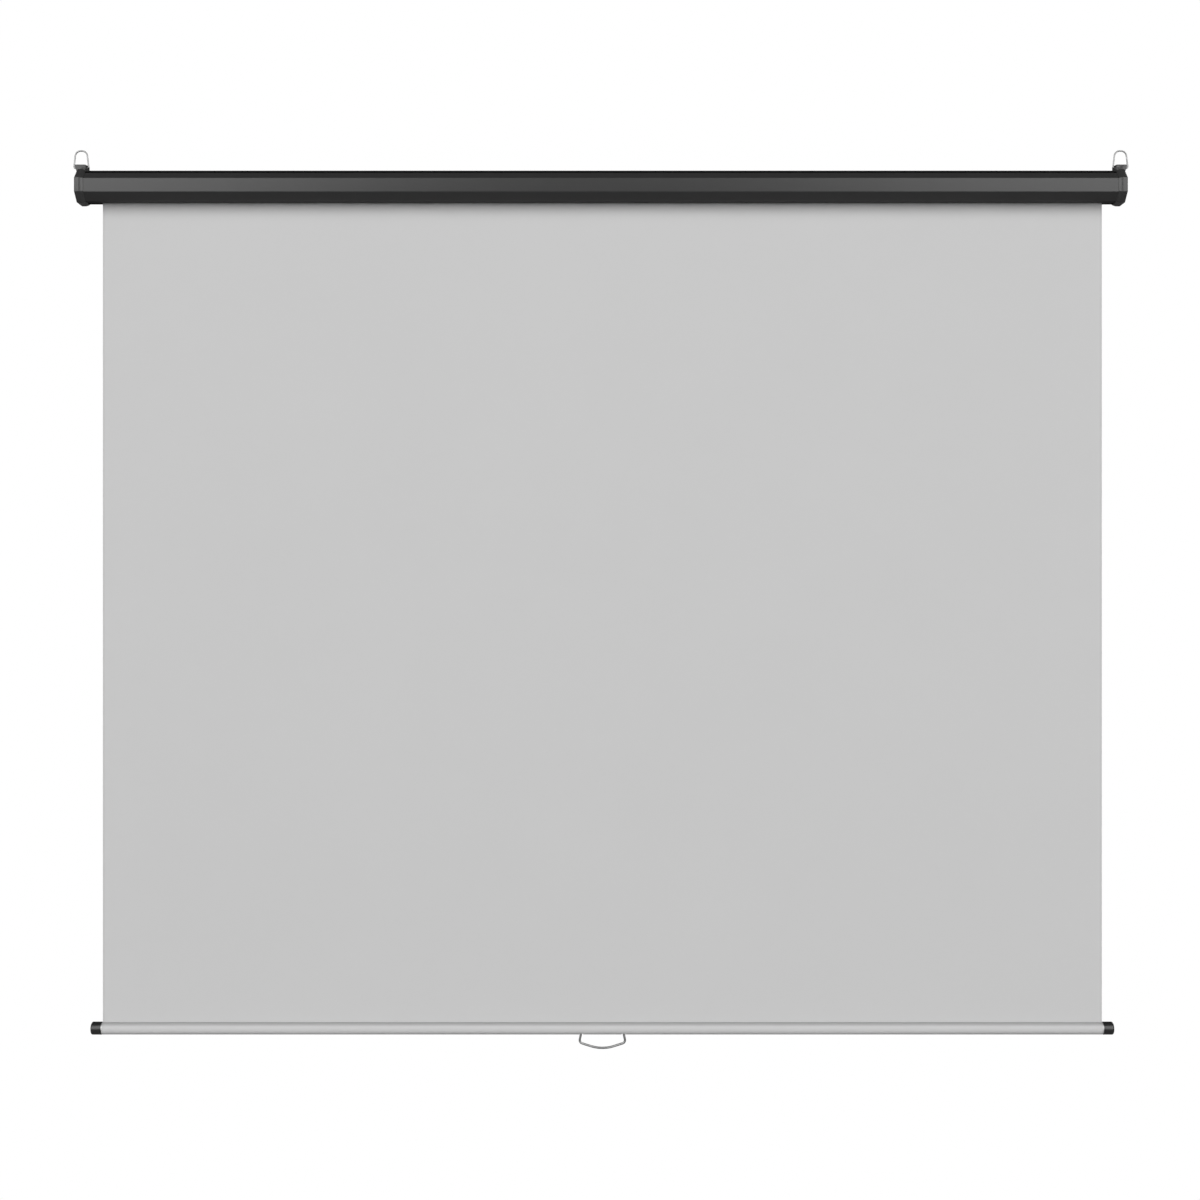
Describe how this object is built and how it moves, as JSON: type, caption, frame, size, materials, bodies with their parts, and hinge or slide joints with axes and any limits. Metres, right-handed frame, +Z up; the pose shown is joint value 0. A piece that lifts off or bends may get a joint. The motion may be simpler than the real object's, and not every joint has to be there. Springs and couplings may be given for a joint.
{
  "type": "projection screen",
  "caption": "Pull-down projection screen: white cloth on a spring roller in an octagonal casing with hanging rings, a weighted bottom bar and a wire pull handle.",
  "frame": {"origin": "middle of the casing's back face, on the wall", "axes": "+X along the casing to the viewer's right, +Y to the wall, +Z up"},
  "size_m": [2.141, 0.0656, 1.8267],
  "materials": {
    "casing_paint": "satin black powder coat",
    "cap_plastic": "fine textured moulding",
    "ring_wire": "bright plated wire",
    "handle_wire": "plated wire",
    "screen_cloth": "matte white coated cloth",
    "tube_steel": "galvanised tube",
    "lock_steel": "bright steel",
    "spring_steel": "oiled spring wire",
    "plug_plastic": "grey moulding",
    "bush_nylon": "natural nylon",
    "plate_steel": "zinc plated",
    "screw_zinc": "dark zinc plated"
  },
  "bodies": {
    "casing": {"casing_shell": "casing_paint", "end_cap_left": "cap_plastic", "end_cap_right": "cap_plastic", "cap_screws_left": "screw_zinc", "cap_screws_right": "screw_zinc", "roller_plate_left": "plate_steel", "roller_plate_right": "plate_steel", "plate_screws_left": "screw_zinc", "plate_screws_right": "screw_zinc", "spindle": "lock_steel", "ratchet_wheel": "lock_steel", "spindle_clip": "lock_steel", "spring_anchor": "plug_plastic", "torsion_spring": "spring_steel", "bearing_bush": "bush_nylon", "screen_fabric": "screen_cloth"},
    "roller": {"roller_tube": "tube_steel", "fabric_wraps": "screen_cloth", "spring_plug": "plug_plastic", "pawl_pins": "lock_steel", "idle_plug": "plug_plastic", "idle_pin": "lock_steel"},
    "upper_pawl": {"pawl_upper": "lock_steel"},
    "lower_pawl": {"pawl_lower": "lock_steel"},
    "bar": {"bar_tube": "tube_steel", "fabric_hem": "screen_cloth", "bar_cap_left": "cap_plastic", "bar_cap_right": "cap_plastic"},
    "handle": {"pull_handle": "handle_wire"},
    "left_ring": {"hang_ring_left": "ring_wire"},
    "right_ring": {"hang_ring_right": "ring_wire"}
  },
  "joints": [
    {"name": "bar_slide", "type": "slide", "parent": "casing", "child": "bar", "axis": [0, 0, 1], "range_m": [0, 1.64871], "deforming": ["screen_fabric"]},
    {"name": "roller_turn", "type": "hinge", "parent": "casing", "child": "roller", "pos_m": [0, -0.0374, 0], "axis": [1, 0, 0], "range_deg": [0, 5761]},
    {"name": "pawl_upper_swing", "type": "hinge", "parent": "roller", "child": "upper_pawl", "pos_m": [-1.0411, -0.0276, 0.0076], "axis": [1, 0, 0], "range_deg": [-15, 12]},
    {"name": "pawl_lower_swing", "type": "hinge", "parent": "roller", "child": "lower_pawl", "pos_m": [-1.0411, -0.0472, -0.0076], "axis": [1, 0, 0], "range_deg": [-15, 12]},
    {"name": "handle_swing", "type": "hinge", "parent": "bar", "child": "handle", "pos_m": [0.003, -0.021, -1.71565], "axis": [1, 0, 0], "range_deg": [-60, 60]},
    {"name": "ring_left_swing", "type": "hinge", "parent": "casing", "child": "left_ring", "pos_m": [-1.0534, -0.031, 0.039], "axis": [1, 0, 0], "range_deg": [-90, 90]},
    {"name": "ring_right_swing", "type": "hinge", "parent": "casing", "child": "right_ring", "pos_m": [1.0534, -0.031, 0.039], "axis": [1, 0, 0], "range_deg": [-90, 90]}
  ],
  "couplings": [
    {"joint": "roller_turn", "follows": "bar_slide", "rad_per_m": 60.976}
  ]
}
